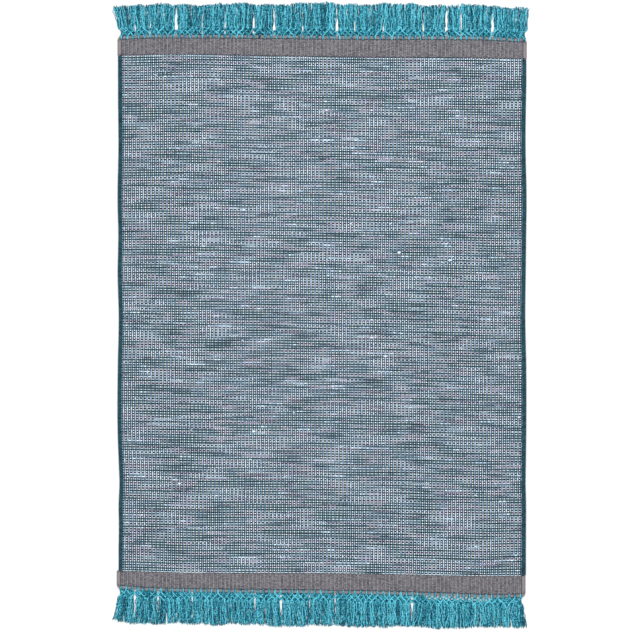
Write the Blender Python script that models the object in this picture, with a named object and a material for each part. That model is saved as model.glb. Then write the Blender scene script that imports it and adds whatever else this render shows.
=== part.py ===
"""A flat-woven rug lying on a floor: a mottled woven field, a fine ribbed band turned under at each end,
a whipped binding down each long side, and a netted fringe hooked over each end band's lip.

Metres, +Z up. +Y runs along the rug to its head end and +X across it. The origin is under the middle of
the whole rug, fringes included, at floor level. Everything rests on the plane z = 0.
"""

import math

import bmesh
import bpy
import numpy as np

MM = 0.001

# Driving dimensions
CLEARANCE = 0.3 * MM  # between neighbouring pieces
LEFT_EDGE = -594.5 * MM  # outside of the left binding, where it lies straight
RIGHT_EDGE = 605.5 * MM  # the cloth is 1.2 m wide, a little right of the middle of the fringe's spread
FIELD_THICKNESS = 6.0 * MM
BAND_THICKNESS = 7.0 * MM  # two layers of the finer band cloth
BINDING_WIDTH = 12.5 * MM

# The rug's own unevenness. Each row is a place across the rug and, there, how far from the middle the
# fringe's tips, the band's outer edge and the seam between band and field lie, at each end.
ACROSS_COLUMNS = ("x", "head_tips", "head_edge", "head_seam", "foot_seam", "foot_edge", "foot_tips")
ACROSS_MM = (
    (-594.5, 914, 820.7, 764.8, -750.7, -802.4, -895),
    (-500.0, 916, 825.0, 766.8, -753.4, -809.8, -909),
    (-400.0, 917, 825.0, 768.0, -756.3, -812.1, -907),
    (-200.0, 918, 824.5, 763.9, -756.9, -815.1, -911),
    (0.0, 920, 822.1, 760.9, -757.5, -817.1, -914),
    (200.0, 918, 820.9, 758.6, -760.4, -820.7, -916),
    (400.0, 915, 820.3, 757.7, -764.8, -826.3, -919),
    (520.0, 912, 818.0, 755.6, -766.6, -830.4, -918),
    (605.5, 909, 812.4, 753.6, -764.2, -827.4, -915),
)

# A place along the rug and, there, how far the left and right sides stray outwards from straight.
ALONG_COLUMNS = ("y", "left", "right")
ALONG_MM = (
    (-815, 4.7, -2.2),
    (-708, 0.0, -0.7),
    (-638, -2.1, -0.4),
    (-567, -0.9, 0.1),
    (-496, -3.5, -1.3),
    (-426, -1.2, -0.4),
    (-355, 1.5, 0.4),
    (-143, 1.2, 0.4),
    (-14, -1.5, -2.2),
    (139, 1.8, -0.7),
    (222, -0.3, 0.1),
    (339, 2.1, 1.6),
    (493, -0.6, -1.3),
    (634, 0.6, -0.1),
    (751, 0.9, 2.2),
    (815, 1.8, 1.6),
)

# Fringe
TIES = 71  # bundles of yarn hooked over each lip, two locks from each
FIRST_TIE = {"head": -585 * MM, "foot": -587 * MM}
LAST_TIE = {"head": 600 * MM, "foot": 589 * MM}
LOCKS_PER_TIE = 2
NET_THICKNESS = 4.0 * MM
NET_DEPTH = 26.0 * MM  # from the lip to where the locks hang free
NET_END_MARGIN = 5.5 * MM  # net beyond the outermost ties
GAP_WIDTH = 8.4 * MM  # of the net's diamond gaps
GAP_LENGTH = 7.6 * MM
FIRST_GAPS = 6.2 * MM  # from the lip to the middles of the gaps between the ties
SECOND_GAPS = 13.8 * MM  # and of those below the ties
LOCK_WIDTH = 6.0 * MM
LOCK_HEIGHT = 4.6 * MM
LOCK_ROOT_IN_NET = 3.0 * MM
LENGTH_SPREAD = 3.5 * MM  # by which some locks end short of the longest
TIP_SPREAD = 1.25 * MM  # sideways, each way

# How far the locks' tips lean to the right at each end of the rug.
LEAN_COLUMNS = ("x", "head", "foot")
LEAN_MM = (
    (-590, -16.0, -14.0),
    (-560, -8.0, -8.0),
    (-500, -1.0, -1.0),
    (-300, 1.5, 1.5),
    (0, -1.0, 2.0),
    (300, 1.5, -1.5),
    (540, 1.0, 2.0),
    (600, 3.0, 7.0),
)

# Where the locks part and leave a slit: its place across the rug, its width, and how far along the free
# length it is widest, as a share.
PARTING_COLUMNS = ("x", "width", "widest")
PARTINGS_MM = {
    "head": (
        (-545, 4, 0.40),
        (-504, 4, 0.35),
        (-422, 8, 0.45),
        (-349, 4, 0.30),
        (-284, 4, 0.40),
        (-195, 8, 0.30),
        (-137, 7, 0.45),
        (-53, 4, 0.40),
        (48, 8, 0.35),
        (100, 4, 0.30),
        (183, 4, 0.40),
        (303, 5, 0.35),
        (370, 8, 0.40),
        (410, 5, 0.30),
        (503, 9, 0.35),
    ),
    "foot": (
        (-541, 8, 0.30),
        (-480, 5, 0.40),
        (-381, 4, 0.35),
        (-191, 4, 0.40),
        (-116, 9, 0.35),
        (-29, 4, 0.30),
        (39, 4, 0.40),
        (271, 9, 0.35),
    ),
}
PARTING_REACH = 30.0 * MM  # how far to each side the locks are pushed aside

# Cross-sections, in millimetres
# A binding, from its inner side round under it to its outer side and back over it.
BINDING_COLUMNS = ("from_inner", "height")
BINDING_SECTION_MM = ((0, 2.4), (2, 0), (10.2, 0), (12.5, 2.5), (12.5, 5.3), (10, 8), (2.8, 8), (0, 6.1))

# A band's rounded fold, from its outermost edge inwards over the lip and the stitched groove behind it,
# and how far the fold draws back at a corner, at the same distances in from the corner.
LIP_COLUMNS = ("from_edge", "height", "corner_pull")
LIP_SECTION_MM = ((0, 4.2, 9), (1.6, 6.8, 6.6), (4.8, 8.6, 1.6), (8, 7.3, 0.5), (9.7, 5.2, 0), (11.6, 7, 0))
LIP_UNDERSIDE_MM = ((3.2, 0, 0), (1.2, 1.3, 0))  # from the floor out to the edge

# A hook of yarn, from where it comes up through the band, over the lip and down into the net.
HOOK_COLUMNS = ("outwards", "underside", "ridge", "half_width")
HOOK_SECTIONS_MM = ((-9.3, 8.3, 9.4, 1.8), (-2.9, 9.4, 11.2, 2.6), (3.9, 3.0, 6.4, 3.3))

# A lock: share of its length, and there its share of LOCK_WIDTH and of LOCK_HEIGHT.
LOCK_COLUMNS = ("along", "width", "height")
LOCK_SECTIONS = ((0, 0.86, 0.72), (0.45, 1.0, 1.0), (1, 0.66, 0.62))
LEAN_CURVE = 1.3  # 1 is a straight lean, and more keeps the root straighter
RIDGE_WANDER = 0.25  # of a lock's ridge from its middle, as a share of its half width

SECTION_STEP = 62.0 * MM  # between the sections of a long piece
END_MARGIN = 0.2  # a section nearer to an end than this share of the step is left out
MERGE = 0.01 * MM

# Display colours and roughness
FINISHES = {
    "mottled_field_yarn": ((128, 142, 155), 0.9),
    "grey_band_cloth": ((121, 120, 126), 0.9),
    "petrol_binding_yarn": ((40, 79, 94), 0.85),
    "teal_fringe_yarn": ((58, 143, 163), 0.8),
}


def column(rows, names, name):
    """One named column of a table in millimetres, as metres."""
    return np.array([row[names.index(name)] for row in rows], float) * MM


def smooth(at, places, values):
    """A smooth curve through values at places, read at the positions in at."""
    at = np.clip(at, places[0], places[-1])
    slopes = np.gradient(values, places)
    i = np.clip(np.searchsorted(places, at, side="right") - 1, 0, len(places) - 2)
    span = places[i + 1] - places[i]
    t = (at - places[i]) / span
    from_start = (1 + 2 * t) * (1 - t) ** 2 * values[i] + t * (1 - t) ** 2 * span * slopes[i]
    from_end = t * t * (3 - 2 * t) * values[i + 1] - t * t * (1 - t) * span * slopes[i + 1]
    return from_start + from_end


def across(name, x):
    """Where a line that runs across the rug lies at x: a column of ACROSS_MM."""
    places = column(ACROSS_MM, ACROSS_COLUMNS, "x")
    return smooth(x, places, column(ACROSS_MM, ACROSS_COLUMNS, name))


def side(name, y):
    """The x of the cloth's left or right outer edge at y."""
    places = column(ALONG_MM, ALONG_COLUMNS, "y")
    stray = smooth(y, places, column(ALONG_MM, ALONG_COLUMNS, name))
    return LEFT_EDGE - stray if name == "left" else RIGHT_EDGE + stray


def linear(level):
    """A display colour level, 0 to 255, as the linear value that a material takes."""
    share = level / 255
    return share / 12.92 if share <= 0.04045 else ((share + 0.055) / 1.055) ** 2.4


def cloth_material(name):
    """A matt textile finish from FINISHES. Yarn is no metal, so its metallic value is 0."""
    colour, roughness = FINISHES[name]
    material = bpy.data.materials.new(name)
    material.use_nodes = True
    shader = material.node_tree.nodes["Principled BSDF"]
    shader.inputs["Base Color"].default_value = (*(linear(level) for level in colour), 1)
    shader.inputs["Roughness"].default_value = roughness
    shader.inputs["Metallic"].default_value = 0
    return material


def add_object(name, bm, material, collection):
    """Links a finished mesh as an object, with its faces pointing out."""
    bmesh.ops.recalc_face_normals(bm, faces=bm.faces)
    mesh = bpy.data.meshes.new(name)
    bm.to_mesh(mesh)
    bm.free()
    obj = bpy.data.objects.new(name, mesh)
    if material:
        mesh.materials.append(material)
    collection.objects.link(obj)
    return obj


def add_loft(bm, sections):
    """A closed skin through sections, each a ring of the same number of points, capped at both ends."""
    rings = [[bm.verts.new(point) for point in section] for section in sections]
    for ring, following in zip(rings, rings[1:]):
        for i in range(len(ring)):
            j = (i + 1) % len(ring)
            bm.faces.new((ring[i], ring[j], following[j], following[i]))
    bm.faces.new(rings[0])
    bm.faces.new(reversed(rings[-1]))


def stations(start, end):
    """Places from start to end: both, and the whole multiples of a step between them.

    Neighbouring pieces so have their corners at the same places, and their straight stretches match.
    """
    low, high = min(start, end), max(start, end)
    whole = np.arange(math.ceil(low / SECTION_STEP), high / SECTION_STEP) * SECTION_STEP
    margin = END_MARGIN * SECTION_STEP
    apart = (whole > low + margin) & (whole < high - margin)
    places = np.concatenate(([low], whole[apart], [high]))
    return places if start < end else places[::-1]


def flat_mesh(outlines, thickness):
    """A level slab on the floor: the first outline is its rim, and the others are holes through it."""
    curve = bpy.data.curves.new("outline", "CURVE")
    curve.dimensions = "2D"
    curve.fill_mode = "BOTH"
    curve.extrude = thickness / 2
    for outline in outlines:
        spline = curve.splines.new("POLY")
        spline.points.add(len(outline) - 1)
        spline.use_cyclic_u = True
        for point, (x, y) in zip(spline.points, outline):
            point.co = (x, y, 0, 1)
    flat = bpy.data.objects.new("outline", curve)
    flat.location.z = thickness / 2
    bpy.context.scene.collection.objects.link(flat)
    bpy.context.view_layer.update()
    mesh = bpy.data.meshes.new_from_object(flat.evaluated_get(bpy.context.evaluated_depsgraph_get()))
    bm = bmesh.new()
    bm.from_mesh(mesh)
    bmesh.ops.transform(bm, matrix=flat.matrix_world, verts=bm.verts)
    bmesh.ops.remove_doubles(bm, verts=bm.verts, dist=MERGE)
    bpy.data.objects.remove(flat)
    bpy.data.meshes.remove(mesh)
    return bm


def build_field(material, collection):
    """The woven middle, a level slab between the bindings and the bands."""
    inner_left = LEFT_EDGE + BINDING_WIDTH
    inner_right = RIGHT_EDGE - BINDING_WIDTH
    xs = stations(inner_left, inner_right)
    head = [(x, across("head_seam", x) - CLEARANCE) for x in xs]
    foot = [(x, across("foot_seam", x) + CLEARANCE) for x in xs]
    ys = stations(foot[-1][1], head[-1][1])
    right = [(side("right", y) - BINDING_WIDTH - CLEARANCE, y) for y in ys]
    ys = stations(head[0][1], foot[0][1])
    left = [(side("left", y) + BINDING_WIDTH + CLEARANCE, y) for y in ys]
    outline = foot[1:-1] + right + head[-2:0:-1] + left
    return add_object("field", flat_mesh([outline], FIELD_THICKNESS), material, collection)


def build_binding(which, material, collection):
    """The whipped edge down one long side: a plump bar with a flat foot, as wavy as the cloth's side."""
    outward = -1 if which == "left" else 1
    edge = LEFT_EDGE if which == "left" else RIGHT_EDGE
    from_inner = column(BINDING_SECTION_MM, BINDING_COLUMNS, "from_inner")
    heights = column(BINDING_SECTION_MM, BINDING_COLUMNS, "height")
    sections = []
    for y in stations(across("foot_seam", edge) + CLEARANCE, across("head_seam", edge) - CLEARANCE):
        inner = side(which, y) - outward * BINDING_WIDTH
        sections.append([(inner + outward * reach, y, z) for reach, z in zip(from_inner, heights)])
    bm = bmesh.new()
    add_loft(bm, sections)
    return add_object(f"{which}_binding", bm, material, collection)


def build_band(end, material, collection):
    """The ribbed band across one end. Its outer fold is a rounded lip, and so are its two short ends."""
    sign = 1 if end == "head" else -1
    insets = column(LIP_SECTION_MM, LIP_COLUMNS, "from_edge")
    lip = column(LIP_SECTION_MM, LIP_COLUMNS, "height")
    pulls = column(LIP_SECTION_MM, LIP_COLUMNS, "corner_pull")
    under_insets = column(LIP_UNDERSIDE_MM, LIP_COLUMNS, "from_edge")
    under_heights = column(LIP_UNDERSIDE_MM, LIP_COLUMNS, "height")

    def section(x, height_there, pull):
        """A ring across the band: up the lip, over it and back to the seam, no higher than height_there."""
        seam = across(f"{end}_seam", x)
        edge = across(f"{end}_edge", x) - sign * pull
        heights = np.minimum(lip, height_there)
        heights[-1] = height_there
        ring = [(x, seam, 0)]
        ring += [(x, edge - sign * inset, z) for inset, z in zip(under_insets, under_heights)]
        ring += [(x, edge - sign * inset, z) for inset, z in zip(insets, heights)]
        ring += [(x, seam, height_there)]
        return ring

    left = side("left", across(f"{end}_edge", LEFT_EDGE))
    right = side("right", across(f"{end}_edge", RIGHT_EDGE))
    rounded = list(zip(insets, lip, pulls))
    sections = [section(left + inset, height, pull) for inset, height, pull in rounded]
    for x in stations(left + 2 * insets[-1], right - 2 * insets[-1]):
        sections.append(section(x, BAND_THICKNESS, 0))
    sections += [section(right - inset, height, pull) for inset, height, pull in reversed(rounded)]
    bm = bmesh.new()
    add_loft(bm, sections)
    return add_object(f"{end}_band", bm, material, collection)


def tie_places(end):
    """The x of each tie along a lip."""
    return np.linspace(FIRST_TIE[end], LAST_TIE[end], TIES)


def net_mesh(end):
    """The knotted heading: a level strip along the lip, with the net's largest gaps cut through it."""
    sign = 1 if end == "head" else -1
    ties = tie_places(end)
    pitch = ties[1] - ties[0]
    xs = stations(ties[0] - NET_END_MARGIN, ties[-1] + NET_END_MARGIN)

    def laid_out(points):
        """Places given as x and distance outwards from the lip, as x and y."""
        return [(x, across(f"{end}_edge", x) + sign * out) for x, out in points]

    rim = laid_out([(x, CLEARANCE) for x in xs] + [(x, NET_DEPTH) for x in reversed(xs)])
    corners = ((-0.5, 0), (0, -0.5), (0.5, 0), (0, 0.5))  # of a diamond gap, as shares of its size
    gaps = [
        laid_out([(x + across_share * GAP_WIDTH, row + out_share * GAP_LENGTH)
                  for across_share, out_share in corners])
        for row, places in ((FIRST_GAPS, ties[:-1] + pitch / 2), (SECOND_GAPS, ties[1:-1]))
        for x in places
    ]
    return flat_mesh([rim] + gaps, NET_THICKNESS)


def parting_push(end, x, share):
    """How far sideways a point of a lock is pushed by the slits near it, at a share of the free length."""
    at = column(PARTINGS_MM[end], PARTING_COLUMNS, "x")
    half_width = column(PARTINGS_MM[end], PARTING_COLUMNS, "width") / 2
    widest = column(PARTINGS_MM[end], PARTING_COLUMNS, "widest") / MM
    opening = np.minimum(share / widest, (1 - share) / (1 - widest))
    reach = np.exp(-np.abs(x - at) / PARTING_REACH)
    return float(np.sum(np.sign(x - at) * half_width * opening * reach))


def add_locks(end, bm, chance):
    """The free locks: three-sided tapered bundles, level on the floor, rooted inside the net."""
    sign = 1 if end == "head" else -1
    ties = tie_places(end)
    pitch = (ties[1] - ties[0]) / LOCKS_PER_TIE
    lean_places = column(LEAN_MM, LEAN_COLUMNS, "x")
    lean_values = column(LEAN_MM, LEAN_COLUMNS, end)
    for x in ties[0] - pitch / 2 + pitch * np.arange(TIES * LOCKS_PER_TIE):
        start = across(f"{end}_edge", x) + sign * (NET_DEPTH - LOCK_ROOT_IN_NET)
        tip = across(f"{end}_tips", x) - sign * chance.uniform(0, LENGTH_SPREAD)
        lean = smooth(x, lean_places, lean_values) + chance.uniform(-TIP_SPREAD, TIP_SPREAD)
        ridge = chance.uniform(-RIDGE_WANDER, RIDGE_WANDER)
        sections = []
        for along, width, height in LOCK_SECTIONS:
            middle = x + lean * along ** LEAN_CURVE + parting_push(end, x, along)
            y = start + (tip - start) * along
            half = 0.5 * LOCK_WIDTH * width
            top = (middle + ridge * half, y, LOCK_HEIGHT * height)
            sections.append([(middle - half, y, 0), (middle + half, y, 0), top])
        add_loft(bm, sections)


def add_hooks(end, bm):
    """The yarn of each tie where it comes up through the band and passes over the lip into the net."""
    sign = 1 if end == "head" else -1
    outwards, undersides, ridges, half_widths = (
        column(HOOK_SECTIONS_MM, HOOK_COLUMNS, name) for name in HOOK_COLUMNS
    )
    for x in tie_places(end):
        sections = []
        for out, under, ridge, half in zip(outwards, undersides, ridges, half_widths):
            y = across(f"{end}_edge", x) + sign * out
            sections.append([(x - half, y, under), (x + half, y, under), (x, y, ridge)])
        add_loft(bm, sections)


def build_fringe(end, material, collection, helpers, seed):
    """The fringe of one end: net, hooks and free locks, fused into one piece of yarn work."""
    net = add_object(f"{end}_fringe", net_mesh(end), material, collection)
    yarn = bmesh.new()
    add_locks(end, yarn, np.random.default_rng(seed))
    add_hooks(end, yarn)
    loose = add_object(f"{end}_locks_and_hooks", yarn, None, helpers)
    loose.hide_render = True
    loose.display_type = "WIRE"
    join = net.modifiers.new("fuse", "BOOLEAN")
    join.operation = "UNION"
    join.object = loose
    return net


def clear_scene():
    """Removes whatever the scene holds."""
    for obj in list(bpy.data.objects):
        bpy.data.objects.remove(obj)


def new_collection(name):
    collection = bpy.data.collections.new(name)
    bpy.context.scene.collection.children.link(collection)
    return collection


def build_rug():
    """The whole rug: field, bindings, bands and fringes."""
    clear_scene()
    rug = new_collection("rug")
    helpers = new_collection("helpers")
    mottled, grey, petrol, teal = (cloth_material(name) for name in FINISHES)
    build_field(mottled, rug)
    for which in ("left", "right"):
        build_binding(which, petrol, rug)
    for end, seed in (("head", 11), ("foot", 23)):
        build_band(end, grey, rug)
        build_fringe(end, teal, rug, helpers, seed)


build_rug()
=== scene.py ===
import math

import bpy
import numpy as np
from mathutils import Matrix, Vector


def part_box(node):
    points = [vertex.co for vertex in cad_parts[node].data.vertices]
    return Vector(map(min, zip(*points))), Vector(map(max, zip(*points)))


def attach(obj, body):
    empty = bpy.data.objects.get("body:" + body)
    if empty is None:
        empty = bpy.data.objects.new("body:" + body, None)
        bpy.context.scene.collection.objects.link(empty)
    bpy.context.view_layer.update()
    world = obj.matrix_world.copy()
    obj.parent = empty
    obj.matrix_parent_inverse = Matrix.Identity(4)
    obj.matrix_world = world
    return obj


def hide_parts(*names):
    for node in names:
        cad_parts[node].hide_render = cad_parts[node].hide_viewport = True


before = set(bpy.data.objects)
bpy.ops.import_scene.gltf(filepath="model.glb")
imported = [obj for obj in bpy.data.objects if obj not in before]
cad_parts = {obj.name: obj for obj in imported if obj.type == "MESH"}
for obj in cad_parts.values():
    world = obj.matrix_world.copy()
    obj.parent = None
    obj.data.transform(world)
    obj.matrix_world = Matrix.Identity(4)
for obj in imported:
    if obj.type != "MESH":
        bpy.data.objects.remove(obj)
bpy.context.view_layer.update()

MM = 0.001

# PLACE
# The rug lies on a plain pale floor and is seen from straight above through a long lens. A wide soft
# light hangs over its head end, and a weaker one over its foot end keeps the shadows thin.
PICTURE_PIXELS = 640  # across and down
MM_IN_A_PIXEL = 2.943  # on the floor
CLOTH_MIDDLE_IN_PICTURE = (320.3, 315.4)
CAMERA_HEIGHT = 7.0
SENSOR = 36.0  # millimetres
ROOM_LIGHT = 0.6
FLOOR_SIZE = 20.0
FLOOR_DROP = 0.5 * MM  # below the rug's underside, so that the two don't lie in one plane


def linear(level):
    """A display colour level, 0 to 255, as the linear value that a shader takes."""
    share = level / 255
    return share / 12.92 if share <= 0.04045 else ((share + 0.055) / 1.055) ** 2.4


def colour(red, green, blue):
    """A display colour as a shader's linear colour."""
    return (linear(red), linear(green), linear(blue), 1.0)


def add_light(name, size, place, power):
    """A square soft light that faces the middle of the rug."""
    lamp = bpy.data.lights.new(name, "AREA")
    lamp.shape = "SQUARE"
    lamp.size = size
    lamp.energy = power
    light = bpy.data.objects.new(name, lamp)
    light.location = place
    bpy.context.scene.collection.objects.link(light)
    light.rotation_euler = (-light.location).to_track_quat("-Z", "Y").to_euler()


scene = bpy.context.scene
scene.view_settings.view_transform = "Standard"
lens = bpy.data.cameras.new("camera")
lens.sensor_width = SENSOR
lens.lens = SENSOR * CAMERA_HEIGHT / (PICTURE_PIXELS * MM_IN_A_PIXEL * MM)
camera = bpy.data.objects.new("camera", lens)
camera.location = (
    (PICTURE_PIXELS / 2 - CLOTH_MIDDLE_IN_PICTURE[0]) * MM_IN_A_PIXEL * MM,
    (CLOTH_MIDDLE_IN_PICTURE[1] - PICTURE_PIXELS / 2) * MM_IN_A_PIXEL * MM,
    CAMERA_HEIGHT,
)
scene.collection.objects.link(camera)
scene.camera = camera

add_light("head_light", size=2.4, place=(0.3, 2.2, 3.2), power=92)
add_light("foot_light", size=3.0, place=(-0.4, -2.2, 3.0), power=67)
scene.world = bpy.data.worlds.new("room")
scene.world.use_nodes = True
room_light = scene.world.node_tree.nodes["Background"]
room_light.inputs["Color"].default_value = (1.0, 1.0, 1.0, 1.0)
room_light.inputs["Strength"].default_value = ROOM_LIGHT

bpy.ops.mesh.primitive_grid_add(
    x_subdivisions=8, y_subdivisions=8, size=FLOOR_SIZE, location=(0, 0, -FLOOR_DROP)
)
floor = bpy.context.object
floor.name = "floor"
floor_paint = bpy.data.materials.new("pale_floor")
floor_paint.use_nodes = True
floor_shader = floor_paint.node_tree.nodes["Principled BSDF"]
floor_shader.inputs["Base Color"].default_value = colour(240, 240, 240)
floor_shader.inputs["Roughness"].default_value = 0.9
floor_shader.inputs["Specular IOR Level"].default_value = 0.1
floor.data.materials.append(floor_paint)

# FIELD
# The woven middle of the rug: a plain weave on thin dark warps. Picks of ecru weft alternate with picks
# of a weft dyed in long stretches of slate, teal, pale blue and lilac, so that it reads as a fine mottle.
WARPS = 206
PICKS = 404
WEAVE_TOP = 6.0 * MM
FLOAT_RISE = 0.55 * MM  # of a weft where it passes over a warp, and as much down where it dips
WEFT_WAVER = 0.9 * MM
WARP_WAVER = 0.5 * MM
WARP_UNEVEN = 0.45 * MM  # of each warp on its own
PICK_UNEVEN = 0.35 * MM
STEADY_EDGE = (1 / 12, 1 / 20)  # of the width and the length, where the wavering dies away towards an edge
CORNER = 20 * MM  # at each end of a solid's side, where its outline turns and isn't the side's own
SAME_PLACE = 1e-4  # metres
# How far these reach from their middles, in warps and in picks.
DYED_FLOAT = (0.355, 0.85)
ECRU_FLOAT = (0.315, 0.5)
DYED_SPREAD = (0.36, 1.27)  # where an ecru pick dips and the dyed ones beside it close over it
BARE_WARP = (0.62, 0.95)
ECRU_IN_A_DIP = 0.38  # of the ecru that still shows between the dyed picks there
COVERED_CROWN = 0.8
# How bright yarn is where each of these is 0 and where it is 1.
CROWN_LIGHT = (0.07, 1.01)
SUNKEN_LIGHT = (1.0, 0.6)
UNBROKEN_LIGHT = (1.0, 0.58)
FIBRE_LIGHT = (0.75, 1.25)
FLOAT_LIGHT = (0.95, 1.45)  # of each float on its own
# The stretches of a pick, by the value of its noise where each begins and where it is full.
UNBROKEN_FROM = (0.65, 0.7)  # packed down over the warps into a line
SUNKEN_BELOW = (0.36, 0.42)
COVERED_AT_SEAM_FROM = (0.3, 0.5)
HEAD_SEAM_COVER = 0.1  # how far the first pick along a seam covers the warps
FOOT_SEAM_COVER = 0.5
SLUB_FROM = (0.79, 0.83)
LILAC_FROM = (0.53, 0.6)
LILAC_SHARE = 0.75
ECRU = colour(218, 241, 255)
ECRU_SHADED = colour(204, 229, 250)
# The bare warp: its own dark colour, made near-black as painted shade in the dips.
WARP_AND_DIP_SHADE = colour(12, 28, 42)
DYE_LILAC = colour(160, 144, 170)
DYES = (  # teal, slate, blue and pale blue, each with its mark in the noise along the yarn
    (0.41, colour(13, 72, 81)),
    (0.47, colour(53, 88, 106)),
    (0.53, colour(105, 130, 151)),
    (0.59, colour(165, 180, 198)),
)


def points_of(node):
    """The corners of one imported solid."""
    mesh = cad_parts[node].data
    numbers = np.empty(len(mesh.vertices) * 3)
    mesh.vertices.foreach_get("co", numbers)
    return numbers.reshape(-1, 3)


def border(node, along, across, side):
    """How far a solid reaches to one side: the places along it and the reach at each, from its corners."""
    points = points_of(node)
    middle = (points[:, across].min() + points[:, across].max()) / 2
    points = points[side * (points[:, across] - middle) > 0]
    places = np.unique(points[:, along].round(4))
    places = places[(places > places[0] + CORNER) & (places < places[-1] - CORNER)]
    corners = [points[np.abs(points[:, along] - place) < SAME_PLACE, across] for place in places]
    return places, np.array([side * np.max(side * here) for here in corners])


def smooth(at, line):
    """A smooth curve through a line's places and values, read at the positions in at."""
    places, values = line
    at = np.clip(at, places[0], places[-1])
    slopes = np.gradient(values, places)
    i = np.clip(np.searchsorted(places, at, side="right") - 1, 0, len(places) - 2)
    span = places[i + 1] - places[i]
    t = (at - places[i]) / span
    start = (1 + 2 * t) * (1 - t) ** 2 * values[i] + t * (1 - t) ** 2 * span * slopes[i]
    end = t * t * (3 - 2 * t) * values[i + 1] - t * t * (1 - t) * span * slopes[i + 1]
    return start + end


def waver(x, y, long, short, seed, ripples=6):
    """A gentle irregular wave between -1 and 1: slanting ripples that are long across x and short along y."""
    chance = np.random.default_rng(seed)
    total = np.zeros(np.broadcast(x, y).shape)
    for _ in range(ripples):
        across = chance.uniform(0.6, 1.6) / long
        along = chance.uniform(-1.4, 1.4) / short
        total = total + np.sin(2 * math.pi * (x * across + y * along + chance.uniform()))
    return total / ripples


def uneven(chance, lines, steps, stretch):
    """How far each of many lines strays sideways at each step, with a new aim by chance every stretch."""
    aims = chance.normal(0, 1, (lines, steps // stretch + 2))
    at = np.arange(steps) / stretch
    whole = at.astype(int)
    share = at - whole
    share = share * share * (3 - 2 * share)
    return aims[:, whole] * (1 - share) + aims[:, whole + 1] * share


def grid_faces(rows, columns):
    """The quads of a grid of points that is stored row by row."""
    start = np.arange((rows - 1) * columns).reshape(rows - 1, columns)[:, :-1].ravel()
    return np.stack((start, start + 1, start + columns + 1, start + columns), axis=1)


def new_piece(name, points, faces, material):
    """A smooth mesh object, with its points where they are in the frame."""
    mesh = bpy.data.meshes.new(name)
    mesh.from_pydata(points.tolist(), [], faces)
    mesh.validate()
    mesh.shade_smooth()
    mesh.materials.append(material)
    piece = bpy.data.objects.new(name, mesh)
    scene.collection.objects.link(piece)
    return piece


def add_uv(piece, name, corner_values):
    """A named UV map, from one pair of values for each corner of each face."""
    layer = piece.data.uv_layers.new(name=name)
    layer.data.foreach_set("uv", np.asarray(corner_values, np.float32).ravel())


def corner_points(piece):
    """The point number at each corner of each face."""
    numbers = np.empty(len(piece.data.loops), np.int32)
    piece.data.loops.foreach_get("vertex_index", numbers)
    return numbers


def shader_node(tree, kind, inputs=(), **settings):
    """A new node with its settings, and its inputs by name or number, each set or linked."""
    made = tree.nodes.new("ShaderNode" + kind)
    for name, value in settings.items():
        setattr(made, name, value)
    for key, value in dict(inputs).items():
        if isinstance(value, bpy.types.NodeSocket):
            tree.links.new(value, made.inputs[key])
        else:
            made.inputs[key].default_value = value
    return made


def calc(tree, operation, *values):
    """The result of one Math node."""
    return shader_node(tree, "Math", enumerate(values), operation=operation).outputs[0]


def times(tree, first, second):
    """The product of two values."""
    return calc(tree, "MULTIPLY", first, second)


def opposite(tree, share):
    """1 where share is 0, and 0 where it is 1."""
    return calc(tree, "SUBTRACT", 1.0, share)


def between(tree, share, at_zero, at_one):
    """A value that runs from one number to another as share goes from 0 to 1."""
    return calc(tree, "MULTIPLY_ADD", share, at_one - at_zero, at_zero)


def from_middle(tree, place):
    """How far a place is from the middle of its own unit, 0 there and 0.5 at the unit's ends."""
    return calc(tree, "ABSOLUTE", calc(tree, "SUBTRACT", calc(tree, "FRACT", place), 0.5))


def rounded(tree, distances, reach):
    """1 where both distances are 0, falling to 0 on the oval at their reach: the height of a round yarn."""
    shares = [calc(tree, "DIVIDE", distance, most) for distance, most in zip(distances, reach)]
    return opposite(tree, calc(tree, "ADD", *(calc(tree, "POWER", share, 2.0) for share in shares)))


def step_up(tree, value, low, high):
    """0 below low, 1 above high, and smooth between them."""
    inputs = {"Value": value, "From Min": low, "From Max": high}
    return shader_node(tree, "MapRange", inputs, interpolation_type="SMOOTHSTEP").outputs[0]


def mix_colours(tree, share, first, second, way="MIX", **settings):
    """The first colour where share is 0, and the second, or the two combined, where it is 1."""
    inputs = {0: share, 6: first, 7: second}
    return shader_node(tree, "Mix", inputs, data_type="RGBA", blend_type=way, **settings).outputs[2]


def darkened(tree, bright, shade, **settings):
    """A colour times a shade, which is a number at each point."""
    grey = shader_node(tree, "CombineColor", {0: shade, 1: shade, 2: shade}).outputs[0]
    return mix_colours(tree, 1.0, bright, grey, "MULTIPLY", **settings)


def ramp_through(tree, tone, marks):
    """The colour for a tone, blended between marks that are each a tone and its colour."""
    ramp = shader_node(tree, "ValToRGB", {"Fac": tone})
    elements = ramp.color_ramp.elements
    elements[0].position, elements[0].color = marks[0]
    elements[1].position, elements[1].color = marks[-1]
    for position, dye in marks[1:-1]:
        elements.new(position).color = dye
    return ramp.outputs["Color"]


def noise(tree, place, scale=1.0, detail=1.0, roughness=0.5):
    """Smooth noise around 0.5 at a place given as a vector."""
    inputs = {"Vector": place, "Scale": scale, "Detail": detail, "Roughness": roughness}
    return shader_node(tree, "TexNoise", inputs).outputs["Fac"]


def place_at(tree, x, y, z=0.0):
    """A vector from three numbers."""
    return shader_node(tree, "CombineXYZ", {0: x, 1: y, 2: z}).outputs[0]


def each_its_own(tree, place):
    """A value by chance for each whole number of a place's first two parts."""
    whole = shader_node(tree, "VectorMath", {0: place}, operation="FLOOR").outputs[0]
    return shader_node(tree, "TexWhiteNoise", {"Vector": whole}, noise_dimensions="2D").outputs[0]


def uv_place(tree, name):
    """A UV map's place as a vector, and its two parts."""
    place = shader_node(tree, "UVMap", uv_map=name).outputs[0]
    return place, *shader_node(tree, "SeparateXYZ", {0: place}).outputs[:2]


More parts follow.
